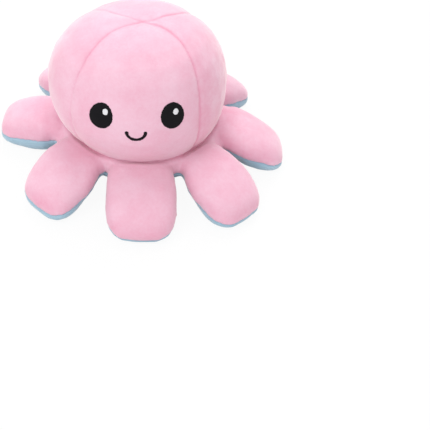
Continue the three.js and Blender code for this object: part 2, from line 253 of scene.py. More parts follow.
# How much brighter the thread's painted gleam is than its colour
THREAD_GLEAM = 1.6
FIBRE_RELIEF = {"Distance": 0.6 * MM}
FIBRE_SURFACE = {"Roughness": 1}
FIBRE_SHADE = 0.8

# The fibre lies this deep inside its node, and its tufts vary that
FIBRE_DEPTH = 3.2 * MM
TUFT_DEPTH = 0.6 * MM
TUFT_SCALE = 120

# Stitches on the outside are laid by rays from this far out
RAY_START = 0.2

# Satin stitches: how far past their node they may reach, and how ragged, domed, ridged and high they are
STITCH_MARGIN = 1.5 * MM
STITCH_RAGGEDNESS = 0.3
RAGGED_SCALE = 1000
RAGGED_SEED = 3
STITCH_DOME = 0.9 * MM
STITCH_RIDGE = 0.28
STITCH_TUCK = 0.12 * MM
STITCH_BASE = 0.3 * MM
EYE_RISE = 0.55 * MM
GLINT_RISE = 0.3 * MM
MOUTH_RISE = 0.5 * MM

# The smiling face leans with the head, and its eyes lean towards each other
FACE_TILT = 1.9
EYE_LEAN = 15
EYE_HALVES = (8.1 * MM, 9.3 * MM)
GLINT_HALVES = (1.95 * MM, 2.25 * MM)
GLINT_LIFT = 0.62 * MM
SMILE = {"half_wide": 6 * MM, "drop": 5.3 * MM, "line": 2.4 * MM}
SMILING_FACE_GRIDS = (0.2 * MM, 0.12 * MM)

# The cross face has brows that slant down towards the middle
BROW_SLANT = 10
CROSS_EYE = {"half_wide": 9.3 * MM, "tall": 17 * MM, "fullness": 2.5}
CROSS_GLINT_HALVES = (1.75 * MM, 2.5 * MM)
CROSS_GLINT_LIFT = 0.5 * MM
FROWN = {"half_wide": 6.2 * MM, "drop": -5.4 * MM, "line": 2.3 * MM}
CROSS_FACE_GRIDS = (0.25 * MM, 0.15 * MM)

# The stage is white paper under soft light; each lamp has a name, a place, a size and a power
FLOOR_SIZE = 6
PAPER_COLOUR = (0.86, 0.86, 0.86, 1)
PAPER_GLOW = 0.93
WHITE = (1, 1, 1, 1)
WORLD_STRENGTH = 0.745
LAMPS = (
    ("key_lamp", (-0.55, -0.55, 0.95), 0.7, 5),
    ("back_lamp", (0.1, 0.68, 0.82), 0.8, 7.5),
    ("low_lamp", (0.1, -0.95, 0.3), 0.9, 1),
)
AIM = Vector((0, 0, 0.05))

# The camera's roll is in degrees, and its sensor and lens are in millimetres
CAMERA_PLACE = Vector((0, -0.5446, 0.4597))
CAMERA_ROLL = 2.2
CAMERA_SENSOR = 36
CAMERA_LENS = 83.88
CAMERA_SHIFT = (0.171, -0.2946)

# What the sidebar's lengths and its colours share
LENGTH = {"unit": "LENGTH", "precision": 5}
COLOUR = {"subtype": "COLOR", "size": 4, "min": 0, "max": 1}


class OctopusSizes(bpy.types.PropertyGroup):
    """Sizes of the cloth, its seams and its filling."""

    cloth: FloatProperty(
        name="Cloth", description="Thickness of the velour with its pile",
        default=1.2 * MM, **LENGTH)
    mesh_step: FloatProperty(
        name="Mesh step", description="Size of the faces that the stuffed form is made of",
        default=2.2 * MM, **LENGTH)
    pressure: FloatProperty(
        name="Stuffing pressure", description="How hard the filling pushes the cloth out",
        default=4.0)
    stuffing_frames: IntProperty(
        name="Stuffing frames", description="Frames over which the cloth swells", default=20)
    swell_limit: FloatProperty(
        name="Swell limit", description="The farthest that the cloth may swell",
        default=1.6 * MM, **LENGTH)
    seam_crease: FloatProperty(
        name="Seam crease", description="How narrow the crease along a seam is",
        default=0.6 * MM, **LENGTH)
    pucker_reach: FloatProperty(
        name="Pucker reach", description="How far puckers run out from a seam",
        default=5 * MM, **LENGTH)
    thread: FloatProperty(
        name="Thread", description="Width of an embroidery thread",
        default=0.45 * MM, **LENGTH)


class OctopusColours(bpy.types.PropertyGroup):
    """Colours of the cloth, the threads and the filling."""

    pink: FloatVectorProperty(
        name="Pink velour", description="Colour of the outside",
        default=(0.80, 0.53, 0.635, 1), **COLOUR)
    # Painted shade: the deeper pink serves for nap that lies flat and for shade painted into creases,
    # beside seams and on the head's right side
    pink_nap_and_shade: FloatVectorProperty(
        name="Pink velour, nap down", description="The outside in creases and where the nap lies flat",
        default=(0.74, 0.34, 0.46, 1), **COLOUR)
    blue: FloatVectorProperty(
        name="Blue velour", description="Colour of the lining and the arms' undersides",
        default=(0.40, 0.56, 0.66, 1), **COLOUR)
    # Painted shade: the deeper blue serves for nap that lies flat and for shade painted into creases and
    # beside seams
    blue_nap_and_shade: FloatVectorProperty(
        name="Blue velour, nap down", description="The lining in creases and where the nap lies flat",
        default=(0.27, 0.43, 0.54, 1), **COLOUR)
    black_thread: FloatVectorProperty(
        name="Black thread", description="Colour of the eyes and mouths",
        default=(0.004, 0.0035, 0.005, 1), **COLOUR)
    white_thread: FloatVectorProperty(
        name="White thread", description="Colour of the glints in the eyes",
        default=(0.55, 0.55, 0.57, 1), **COLOUR)
    fibre: FloatVectorProperty(
        name="Fibre", description="Colour of the filling",
        default=(0.86, 0.85, 0.82, 1), **COLOUR)


def select_only(*pieces):
    """Leave only these pieces selected, with the first one active."""
    bpy.ops.object.select_all(action="DESELECT")
    for piece in pieces:
        piece.select_set(True)
    bpy.context.view_layer.objects.active = pieces[0]


def apply_modifier(piece, kind, **settings):
    """Give the piece a modifier and apply it."""
    select_only(piece)
    modifier = piece.modifiers.new(kind.title(), kind)
    for name, value in settings.items():
        setattr(modifier, name, value)
    bpy.ops.object.modifier_apply(modifier=modifier.name)


def copy_node(node, name):
    """A merged copy of a node's mesh as a new piece."""
    piece = bpy.data.objects.new(name, frame["nodes"][node].data.copy())
    bpy.context.scene.collection.objects.link(piece)
    piece.data.materials.clear()
    select_only(piece)
    bpy.ops.object.mode_set(mode="EDIT")
    bpy.ops.mesh.select_all(action="SELECT")
    bpy.ops.mesh.remove_doubles(threshold=WELD)
    bpy.ops.object.mode_set(mode="OBJECT")
    return piece


def read(items, name, width=1, kind=float):
    """What each of a mesh's items says under a name: a value, or a row of them."""
    values = np.empty(len(items) * width, kind)
    items.foreach_get(name, values)
    return values if width == 1 else values.reshape(-1, width)


def points_of(mesh):
    """The places of a mesh's points, one row each."""
    return read(mesh.vertices, "co", 3)


def normals_of(mesh):
    """The directions that a mesh's points face, one row each."""
    return read(mesh.vertices, "normal", 3)


def move_points(mesh, places):
    """Put a mesh's points in new places."""
    mesh.vertices.foreach_set("co", places.ravel())
    mesh.update()


def edge_ends(mesh):
    """The two points of each edge, one row each."""
    return read(mesh.edges, "vertices", 2, int)


def corner_faces(mesh):
    """The face that each corner of a mesh belongs to."""
    return np.repeat(np.arange(len(mesh.polygons)), read(mesh.polygons, "loop_total", kind=int))


def labels_of(mesh):
    """The piece of cloth that each face belongs to."""
    return read(mesh.polygons, "material_index", kind=int)


def noise_at(points, scale):
    """Noise at each point."""
    return np.array([noise.noise(Vector(point) * scale) for point in points])


def noise_round(turns, places, wide, tall):
    """Noise that closes round the axis, at each turn and its place along."""
    return np.array([
        noise.noise(Vector((wide * math.cos(turn), wide * math.sin(turn), tall * place)))
        for turn, place in zip(turns, places)])


def mound(values, middle, width):
    """1 at the middle, and softly down to 0 on both sides of it."""
    return np.exp(-((values - middle) / width) ** 2)


def radius_at(points):
    """How far points are from the body's axis."""
    return np.hypot(points[:, 0], points[:, 1])


def azimuth_at(points):
    """The direction of points round the body, in degrees."""
    return np.degrees(np.arctan2(points[:, 1], points[:, 0]))


def arm_at(points):
    """The arm whose sector holds each point, counted from the front."""
    turns = np.rint((azimuth_at(points) - FRONT_AZIMUTH) / ARM_ANGLE)
    return turns.astype(int) % len(ARMS)


def upright(points):
    """The points of the head with its sway to one side taken out."""
    share = np.clip((points[:, 2] - NECK_HEIGHT) / (CROWN_HEIGHT - NECK_HEIGHT), 0, 1)
    straight = points.copy()
    straight[:, 0] -= np.where(pocket_field(points) < 0, 0, HEAD_SWAY * 4 * share * (1 - share))
    return straight


def turn_from_front(points):
    """How far each point of the head or the lining lies round from the front, in degrees."""
    return np.abs((azimuth_at(upright(points)) - FRONT_AZIMUTH + 180) % 360 - 180)


def seam_bow(points):
    """How far the head's seams have swung outwards at each point, in degrees."""
    room = np.clip(1 - radius_at(upright(points)) / SEAM_BOW_REACH, 0, 1)
    bowed = (points[:, 2] > WIDEST_HEIGHT) & (pocket_field(points) > 0)
    return np.where(bowed, SEAM_BOW * room ** SEAM_BOW_FULLNESS, 0)


def front_field(points):
    """Changes sign across the two seams of the front panel."""
    turn = turn_from_front(points) - PANEL_ANGLE / 2 - seam_bow(points)
    return np.radians(turn) * radius_at(upright(points))


def back_field(points):
    """Changes sign across the two seams of the back panel."""
    turn = 180 - PANEL_ANGLE / 2 - seam_bow(points) - turn_from_front(points)
    return np.radians(turn) * radius_at(upright(points))


def panel_at(points):
    """The panel that holds each point, counted from the front."""
    aside = np.where(upright(points)[:, 0] > 0, SIDES.index("right"), SIDES.index("left"))
    front_or_aside = np.where(front_field(points) < 0, SIDES.index("front"), aside)
    return np.where(back_field(points) < 0, SIDES.index("back"), front_or_aside)


def neck_field(points):
    """Above zero on the head's side of the neck seam."""
    return points[:, 2] - NECK_HEIGHT - NECK_SLOPE_SHARE * (radius_at(points) - NECK_RADIUS)


def pocket_field(points):
    """Below zero inside the pocket."""
    across = radius_at(points) / POCKET_RADIUS
    up = np.maximum(points[:, 2], 0) / POCKET_HEIGHT
    return across ** POCKET_FULLNESS + up ** POCKET_FULLNESS - 1


def edge_field(points):
    """Above zero over the seam that runs round the edge of the arms."""
    aside = np.radians(azimuth_at(points) - FRONT_AZIMUTH - ARM_ANGLE * arm_at(points))
    along = radius_at(points) * np.cos(aside)
    share = np.clip((along - HINGE_REACH) / (TIP_REACH - HINGE_REACH), 0, 1)
    fork = np.clip((HINGE_REACH - along) / FORK_SEAM_REACH, 0, 1)
    front = arm_at(points) == ARM_NAMES.index("arm_front")
    tip = TIP_SEAM_HEIGHT - np.where(front, FRONT_TIP_SEAM_DROP, 0)
    seam = HINGE_HEIGHT + FORK_SEAM_RISE * fork - (HINGE_HEIGHT - tip) * share
    return points[:, 2] - seam


def plane_field(azimuth):
    """A field that changes sign across the upright plane through the axis in a direction."""
    turn = math.radians(azimuth)
    return lambda points: points[:, 0] * math.sin(turn) - points[:, 1] * math.cos(turn)


def circle_field(radius):
    """A field that changes sign across a circle round the axis."""
    return lambda points: radius_at(points) - radius


def label_at(points):
    """The piece of cloth that each point belongs to."""
    panels, arms, radii = panel_at(points), arm_at(points), radius_at(points)
    upper = edge_field(points) > 0
    labels = np.where(radii < BAND_RADIUS, BAND_LABEL, TOP_LABEL + arms)
    under = np.where(radii < RING_RADIUS, RING_LABEL, UNDERSIDE_LABEL + arms)
    labels = np.where(upper, labels, under)
    labels = np.where(neck_field(points) > 0, HEAD_LABEL + panels, labels)
    return np.where(pocket_field(points) < 0, LINING_LABEL + panels, labels)


def cut_where(skin, field, near=None):
    """Cut the skin along the line where a field of its points changes sign."""
    snap_share = 0.2
    points = points_of(skin.data)
    values = field(points)
    ends = edge_ends(skin.data)
    allowed = np.ones(len(points), bool) if near is None else near(points)
    reachable = allowed[ends].all(axis=1)

    def crossings():
        first, second = values[ends[:, 0]], values[ends[:, 1]]
        found = np.flatnonzero((first * second < 0) & reachable)
        return found, first[found] / (first[found] - second[found])

    found, shares = crossings()
    closeness = np.minimum(shares, 1 - shares)
    moved = set()
    for place in np.argsort(closeness):
        if closeness[place] > snap_share:
            break
        first, second = ends[found[place]]
        if values[first] == 0 or values[second] == 0:
            continue
        corner = first if shares[place] < 0.5 else second
        points[corner] = points[first] + (points[second] - points[first]) * shares[place]
        values[corner] = 0
        moved.add(int(corner))
    found, shares = crossings()
    bm = bmesh.new()
    bm.from_mesh(skin.data)
    bm.verts.ensure_lookup_table()
    bm.edges.ensure_lookup_table()
    for corner in moved:
        bm.verts[corner].co = points[corner]
    line = [bm.verts[int(corner)] for corner in np.flatnonzero((values == 0) & allowed)]
    splits = [(bm.edges[int(edge)], bm.verts[int(ends[edge, 0])], share)
              for edge, share in zip(found, shares)]
    for edge, start, share in splits:
        line.append(bmesh.utils.edge_split(edge, start, share)[1])
    bmesh.ops.connect_verts(bm, verts=line)
    bm.to_mesh(skin.data)
    bm.free()
    skin.data.update()


def face_pairs(mesh):
    """The two faces on each edge."""
    sides = read(mesh.loops, "edge_index", kind=int)
    owners = corner_faces(mesh)
    order = np.argsort(sides, kind="stable")
    sides, owners = sides[order], owners[order]
    same = np.flatnonzero(sides[1:] == sides[:-1])
    return np.stack([owners[same], owners[same + 1]], axis=1)


def join_scraps(mesh, labels):
    """Give each loose scrap of cloth to a piece beside it that no seam parts it from."""
    pairs = face_pairs(mesh)
    joined = pairs[labels[pairs[:, 0]] == labels[pairs[:, 1]]]
    patch = np.arange(len(labels))
    settled = False
    while not settled:
        before = patch.copy()
        low = patch[joined].min(axis=1)
        np.minimum.at(patch, joined[:, 0], low)
        np.minimum.at(patch, joined[:, 1], low)
        patch = patch[patch]
        settled = bool((patch == before).all())
    sizes = np.bincount(patch)
    for scrap in np.unique(patch[sizes[patch] < SCRAP_FACES]):
        inside = patch == scrap
        border = pairs[inside[pairs].sum(axis=1) == 1]
        around = labels[border[~inside[border]]]
        beside = [label for label in around if not seam_kind(labels[scrap], label)]
        if beside:
            labels[inside] = np.bincount(beside).argmax()


def label_faces(skin):
    """Write each face's piece of cloth into its material index."""
    mesh = skin.data
    labels = label_at(read(mesh.polygons, "center", 3)).astype(int)
    join_scraps(mesh, labels)
    mesh.polygons.foreach_set("material_index", labels)
    mesh.update()


def marked_points(mesh, labels):
    """Which points belong to the pieces of cloth with the given labels."""
    corners = read(mesh.loops, "vertex_index", kind=int)
    marks = np.zeros(len(mesh.vertices), bool)
    marks[corners[np.isin(labels_of(mesh), labels)[corner_faces(mesh)]]] = True
    return marks


def seam_kind(first, second):
    """The kind of seam between two labels, or none where the cloth runs on."""
    low, high = sorted((first, second))
    if high < LINING_LABEL or low >= LINING_LABEL and high < BAND_LABEL:
        return "panel"
    if low < LINING_LABEL:
        return "neck"
    if low < BAND_LABEL:
        return "mouth"
    lower_side = [label == RING_LABEL or label >= UNDERSIDE_LABEL for label in (low, high)]
    return "edge" if lower_side[0] != lower_side[1] else None


def seam_edges(mesh):
    """The edges of each kind of seam, as pairs of points."""
    sides = read(mesh.loops, "edge_index", kind=int)
    owners = labels_of(mesh)[corner_faces(mesh)]
    low = np.full(len(mesh.edges), len(CLOTH_NAMES))
    high = np.full(len(mesh.edges), -1)
    np.minimum.at(low, sides, owners)
    np.maximum.at(high, sides, owners)
    ends = edge_ends(mesh)
    seams = {kind: [] for kind in SEAMS}
    for edge in np.flatnonzero(low != high):
        kind = seam_kind(int(low[edge]), int(high[edge]))
        if kind:
            seams[kind].append(ends[edge])
    return seams


def seam_trees(skin):
    """For each kind of seam, a search tree over places along it."""
    points = points_of(skin.data)
    trees = {}
    for kind, pairs in seam_edges(skin.data).items():
        pairs = np.array(pairs)
        steps = (0, 1 / 3, 2 / 3)
        places = [points[pairs[:, 0]] * (1 - step) + points[pairs[:, 1]] * step for step in steps]
        places = np.concatenate(places)
        tree = KDTree(len(places))
        for index, place in enumerate(places):
            tree.insert(place, index)
        tree.balance()
        trees[kind] = tree
    return trees


def seam_distance(tree, points):
    """How far points are from a seam."""
    return np.array([tree.find(point)[2] for point in points])


def smooth_share(values, start, end):
    """A smooth step from 0 at start to 1 at end."""
    share = np.clip((values - start) / (end - start), 0, 1)
    return share * share * (3 - 2 * share)


class OCTOPUS_OT_stuff_form(bpy.types.Operator):
    """Fuse the fillings and the web between the arms into one soft form"""

    bl_idname = "octopus.stuff_form"
    bl_label = "Stuff the form"

    def draw_ring(self, web, near, height, radius):
        """Extrude one edge of the web to another height and radius."""
        bpy.ops.mesh.select_all(action="DESELECT")
        bm = bmesh.from_edit_mesh(web.data)
        for corner in bm.verts:
            corner.select = abs(corner.co.z - near) < WELD
        bm.select_flush_mode()
        bmesh.update_edit_mesh(web.data)
        bpy.ops.mesh.extrude_region_move(TRANSFORM_OT_translate={"value": (0, 0, height - near)})
        share = radius / WEB_RADIUS
        bpy.ops.transform.resize(value=(share, share, 1), center_override=(0, 0, height))

    def add_web(self):
        """A wedge of filling round the neck, whose edge is the fork between each two arms."""
        depth = WEB_EDGE_HIGH - WEB_EDGE_LOW
        bpy.ops.mesh.primitive_cylinder_add(
            vertices=WEB_SIDES, radius=WEB_RADIUS, depth=depth, end_fill_type="NOTHING",
            location=(0, 0, WEB_EDGE_LOW + depth / 2))
        web = bpy.context.object
        bpy.ops.object.transform_apply(location=True)
        bpy.ops.object.mode_set(mode="EDIT")
        bpy.ops.mesh.select_mode(type="VERT")
        self.draw_ring(web, WEB_EDGE_HIGH, WEB_TOP_HEIGHT, WEB_TOP_RADIUS)
        self.draw_ring(web, WEB_EDGE_LOW, WEB_FLOOR, WEB_FLOOR_RADIUS)
        bpy.ops.mesh.select_all(action="SELECT")
        bpy.ops.mesh.normals_make_consistent(inside=False)
        bpy.ops.object.mode_set(mode="OBJECT")
        points = points_of(web.data)
        on_edge = radius_at(points) > WEB_RADIUS - MM
        back = (1 + np.sin(np.radians(azimuth_at(points)))) / 2
        growth = WEB_BACK_GROWTH * np.clip(WEB_GROWTH_STEEPNESS * back, 0, 1)
        points[on_edge, :2] *= (1 + growth / WEB_RADIUS)[on_edge, None]
        move_points(web.data, points)
        apply_modifier(web, "SOLIDIFY", thickness=WEB_WIDTH, offset=-1)
        return web

    def add_root(self, arm):
        """Filling that joins the crest of an arm to the neck."""
        root = copy_node(f"{arm}_filling", "root")
        points = points_of(root.data)
        top = points[:, 2].max()
        points[:, 2] = top - (top - points[:, 2]) * ROOT_HEIGHT_SHARE
        inward = Vector((-ARMS[arm].x, -ARMS[arm].y, 0)).normalized() * ROOT_SHIFT
        move_points(root.data, points + np.array(inward))
        return root

    def execute(self, context):
        sizes = context.scene.octopus_sizes
        fillings = [copy_node(f"{arm}_filling", "form") for arm in ARM_NAMES]
        roots = [self.add_root(arm) for arm in ARM_NAMES]
        form = copy_node("head_filling", "stuffed_form")
        web = self.add_web()
        select_only(form, web, *fillings, *roots)
        bpy.ops.object.join()
        apply_modifier(form, "REMESH", mode="VOXEL", voxel_size=sizes.mesh_step)
        apply_modifier(form, "SMOOTH", factor=SMOOTHING, iterations=FIRST_SMOOTHINGS)
        for _ in range(SMOOTHING_ROUNDS):
            apply_modifier(form, "SMOOTH", factor=SMOOTHING, iterations=1)
            apply_modifier(form, "SMOOTH", factor=SWELLING_BACK, iterations=1)
        return {"FINISHED"}


class OCTOPUS_OT_sew_skin(bpy.types.Operator):
    """Cut the form's skin along its seams, swell it with filling and part it into its pieces of cloth"""

    bl_idname = "octopus.sew_skin"
    bl_label = "Sew the skin"

    def cut_pieces(self, skin):
        """Cut along every line where one piece of cloth ends."""
        def by_neck(points):
            return (radius_at(points) > NECK_NEAR_RADIUS) & (points[:, 2] > HINGE_HEIGHT)

        def panelled(points):
            return (neck_field(points) > -PANEL_MARGIN) | (pocket_field(points) < POCKET_MARGIN)

        def by_edge(points):
            return (radius_at(points) > ARM_NEAR_RADIUS) & (neck_field(points) < 0)

        def by_band(points):
            return (edge_field(points) > 0) & by_edge(points)

        def by_ring(points):
            return (edge_field(points) < 0) & (radius_at(points) > ARM_NEAR_RADIUS)

        def by_fork(points):
            return (radius_at(points) > FORK_NEAR_RADIUS) & (neck_field(points) < 0)

        cut_where(skin, neck_field, by_neck)
        cut_where(skin, pocket_field)
        cut_where(skin, edge_field, by_edge)
        cut_where(skin, circle_field(BAND_RADIUS), by_band)
        cut_where(skin, circle_field(RING_RADIUS), by_ring)
        cut_where(skin, front_field, panelled)
        cut_where(skin, back_field, panelled)
        for step in range(len(ARMS) // 2):
            cut_where(skin, plane_field(FRONT_AZIMUTH + ARM_ANGLE * (step + 0.5)), by_fork)
        label_faces(skin)

    def swell(self, skin, sizes):
        """Lay the cloth over the form and let the filling push it out between its seams."""
        points = points_of(skin.data)
        trees = seam_trees(skin)
        held = np.minimum(seam_distance(trees["neck"], points), seam_distance(trees["mouth"], points))
        lift = CLOTH_LIFT * smooth_share(held, LIFT_START, LIFT_END)
        laid = points + normals_of(skin.data) * lift[:, None]
        move_points(skin.data, laid)
        step = self.simulate(skin, sizes, held) - laid
        length = np.linalg.norm(step, axis=1)
        step *= np.minimum(1, sizes.swell_limit / np.maximum(length, WELD))[:, None]
        move_points(skin.data, laid + step)

    def simulate(self, skin, sizes, held):
        """Run the cloth with its seams pinned, and return where its points end."""
        pins = skin.vertex_groups.new(name="sewn")
        pins.add([int(point) for point in np.flatnonzero(held < WELD)], 1, "REPLACE")
        modifier = skin.modifiers.new("Stuffing", "CLOTH")
        cloth = modifier.settings
        for name, value in CLOTH_PHYSICS.items():
            setattr(cloth, name, value)
        cloth.uniform_pressure_force = sizes.pressure
        cloth.vertex_group_mass = pins.name
        cloth.effector_weights.gravity = 0
        modifier.collision_settings.use_collision = False
        modifier.point_cache.frame_start = 1
        modifier.point_cache.frame_end = sizes.stuffing_frames
        for moment in range(1, sizes.stuffing_frames + 1):
            bpy.context.scene.frame_set(moment)
        view = bpy.context.evaluated_depsgraph_get()
        swollen = points_of(skin.evaluated_get(view).data)
        skin.modifiers.remove(modifier)
        skin.vertex_groups.clear()
        bpy.context.scene.frame_set(1)
        return swollen

    def refine(self, skin):
        """Smaller faces all over, with rows of their own along each seam."""
        apply_modifier(skin, "SUBSURF", levels=1, render_levels=1)
        for row in SEAM_ROWS:
            trees = seam_trees(skin)
            cut_where(skin, lambda points: np.minimum.reduce(
                [seam_distance(tree, points) for tree in trees.values()]) - row)

    def painted_nap_shade(self, mesh, points, facing):
        """How much painted shade lies beside the right panel's seams, and on the arms' tops by their
        edges, heavier on slopes that face the front.
        """
        right_panel = marked_points(mesh, [HEAD_LABEL + SIDES.index("right")])
        arm_tops = marked_points(mesh, list(range(TOP_LABEL, UNDERSIDE_LABEL)))
        rightward = np.clip(points[:, 0] / NECK_RADIUS, 0, 1)
        forward = np.clip(ARM_SHADE_EVERYWHERE - ARM_SHADE_FORWARD * facing[:, 1], 0, 1)
        return {
            "panel": RIGHT_PANEL_PAINTED_SHADE * rightward * right_panel,
            "edge": ARM_TOP_PAINTED_SHADE * forward * arm_tops,
        }

    def draw_seams(self, skin, sizes, points, painted_bands):
        """How far each point lifts beside the seams, and how much painted shade lies there."""
        lift = np.zeros(len(points))
        painted_shade = np.zeros(len(points))
        aside = np.clip(points[:, 0] / NECK_RADIUS, -1, 1)
        for kind, tree in seam_trees(skin).items():
            seam = SEAMS[kind]
            found = [tree.find(point) for point in points]
            places = [place for place, index, gap in found]
            distance = np.array([gap for place, index, gap in found])
            near = np.exp(-distance / sizes.seam_crease)
            reach = mound(distance, 0, sizes.pucker_reach)
            shown = SHOWN_EVERYWHERE + SHOWN_VARYING * noise_at(places, SHOWN_SCALE)
            shown = np.clip(shown + SHOWN_RIGHTWARD * aside, SHOWN_LEAST, 1)
            lift += seam["roll"] * mound(distance, ROLL_DISTANCE, ROLL_WIDTH)
            lift -= seam["depth"] * near + seam["dip"] * reach * (LEAST_DIP + shown)
            lift += seam["pucker"] * noise_at(places, PUCKER_SCALE) * reach * (1 - near)
            # Painted shade: a dark line along the seam, heavier where the seam shows more, and so on the
            # right
            line = mound(distance, 0, PANEL_LINE_WIDTH) if kind == "panel" else near
            painted_shade = np.maximum(painted_shade, seam["shade"] * line * shown)
            # Painted shade in a band beside the seam, lightened by a stripe of painted highlight
            if kind in painted_bands:
                band = mound(distance, 0, SHADE_BAND_WIDTH)
                stripe = mound(distance, HIGHLIGHT_STRIPE_DISTANCE, HIGHLIGHT_STRIPE_WIDTH)
                painted_shade = np.maximum(painted_shade, painted_bands[kind] * band * (1 - HIGHLIGHT_STRIPE_SHARE * stripe))
        return lift, painted_shade

    def gather(self, points, lift):
        """Dip and gather the crown, and lay the lining in folds."""
        inside = pocket_field(points) < 0
        crown = np.where(points[:, 2] > WIDEST_HEIGHT, np.where(inside, 0, 1), 0)
        radii, turns = radius_at(points), np.radians(azimuth_at(points))
        lift -= CROWN_DIP * crown * mound(radii, 0, CROWN_DIP_WIDTH)
        gathers = noise_round(turns, radii, *GATHER_SCALES)
        lift += GATHER_HEIGHT * crown * gathers * mound(radii, GATHER_RADIUS, GATHER_WIDTH)
        heights = points[inside, 2]
        folds = noise_round(turns[inside], heights, *FOLD_SCALES)
        lift[inside] += FOLD_HEIGHT * folds * smooth_share(heights, FOLD_START, FOLD_END)

    def crease(self, skin, sizes):
        """Draw the seams in, pucker the cloth beside them and make it softly uneven, and keep the shade
        painted by the seams as an attribute.
        """
        mesh = skin.data
        points, facing = points_of(mesh), normals_of(mesh)
        lift, painted_shade = self.draw_seams(skin, sizes, points, self.painted_nap_shade(mesh, points, facing))
        lift += MM * sum(height * noise_at(points, scale) for scale, height in UNEVENNESS)
        self.gather(points, lift)
        points += facing * lift[:, None]
        points[:, 2] = np.maximum(points[:, 2], 0)
        move_points(mesh, points)
        # Painted shade by the seams, which darkens the velour there
        shade = mesh.attributes.new("crease", "FLOAT", "POINT")
        shade.data.foreach_set("value", painted_shade.astype(np.float32))
        soft = mesh.attributes.new("soft_normal", "FLOAT_VECTOR", "POINT")
        soft.data.foreach_set("vector", normals_of(mesh).ravel().astype(np.float32))

    def part(self, skin):
        """Part the skin into its pieces of cloth, each named after its node."""
        for name in CLOTH_NAMES:
            skin.data.materials.append(bpy.data.materials.new(name))
        select_only(skin)
        bpy.ops.object.mode_set(mode="EDIT")
        bpy.ops.mesh.select_all(action="SELECT")
        bpy.ops.mesh.separate(type="MATERIAL")
        bpy.ops.object.mode_set(mode="OBJECT")
        for piece in list(bpy.context.selected_objects):
            label = piece.data.materials[piece.data.polygons[0].material_index].name
            piece.name = f"{label}_cloth"
            piece.data.name = piece.name
        for name in CLOTH_NAMES:
            bpy.data.materials.remove(bpy.data.materials[name])

    def execute(self, context):
        sizes = context.scene.octopus_sizes
        skin = bpy.data.objects["stuffed_form"]
        self.cut_pieces(skin)
        self.swell(skin, sizes)
        self.refine(skin)
        self.crease(skin, sizes)
        self.part(skin)
        return {"FINISHED"}


def thicken(piece, thickness):
    """Give a piece of cloth its thickness inwards, and keep the whole skin's smooth shading."""
    outer = len(piece.data.vertices)
    apply_modifier(piece, "SOLIDIFY", thickness=thickness, offset=-1)
    mesh = piece.data
    soft = read(mesh.attributes["soft_normal"].data, "vector", 3, np.float32)
    soft[outer:] *= -1
    mesh.attributes.remove(mesh.attributes["soft_normal"])
    mesh.shade_smooth()
    mesh.normals_split_custom_set_from_vertices(soft.tolist())


def finish_cloth(node, material, thickness):
    """Thicken the piece of cloth that stands for a node, and give it its material and slot."""
    piece = bpy.data.objects[f"{node}_cloth"]
    piece.data.materials.clear()
    piece.data.materials.append(bpy.data.materials[material])
    indices = np.zeros(len(piece.data.polygons), int)
    piece.data.polygons.foreach_set("material_index", indices)
    thicken(piece, thickness)
    return piece


def blend_along_arm(piece):
    """Bake the piece's place into its mesh."""
    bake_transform(piece)


class NodeTree:
    """The nodes of a material or of the world."""

    def __init__(self, owner):
        owner.use_nodes = True
        self.nodes, self.links = owner.node_tree.nodes, owner.node_tree.links

    def fill(self, node, inputs):
        """Give each named input its value, or link it to the socket that feeds it."""
        for name, value in inputs.items():
            if isinstance(value, bpy.types.NodeSocket):
                self.links.new(value, node.inputs[name])
            else:
                node.inputs[name].default_value = value

    def add(self, kind, inputs, **settings):
        """A new node with its settings and its inputs."""
        node = self.nodes.new(kind)
        for name, value in settings.items():
            setattr(node, name, value)
        self.fill(node, inputs)
        return node

    def maths(self, operation, first, second, clamped=False):
        """What a calculation with two values gives."""
        return self.add("ShaderNodeMath", {0: first, 1: second},
                        operation=operation, use_clamp=clamped).outputs["Value"]

    def mix_shaders(self, share, first, second):
        """One shader that turns into another by a share."""
        return self.add("ShaderNodeMixShader", {"Fac": share, 1: first, 2: second}).outputs["Shader"]


class Finish(NodeTree):
    """A material whose nodes look up places on the piece itself."""

    def __init__(self, name):
        super().__init__(bpy.data.materials.new(name))
        self.place = self.add("ShaderNodeTexCoord", {}).outputs["Object"]

    def pattern(self, settings):
        """Noise over the piece."""
        return self.add("ShaderNodeTexNoise", {"Vector": self.place, **settings}).outputs["Fac"]

    def ranged(self, value, span):
        """A value stretched from one range to another."""
        ends = dict(zip(("From Min", "From Max", "To Min", "To Max"), span))
        return self.add("ShaderNodeMapRange", {"Value": value, **ends}).outputs["Result"]

    def dress(self, first, second, share, relief, surface):
        """A colour that turns into a second one by a share, with a relief and a surface."""
        mix = self.add("ShaderNodeMix", {"A": first, "B": second, "Factor": share}, data_type="RGBA")
        bump = self.add("ShaderNodeBump", relief)
        colour, normal = mix.outputs["Result"], bump.outputs["Normal"]
        shader = self.nodes["Principled BSDF"]
        self.fill(shader, {"Base Color": colour, "Normal": normal, **surface})


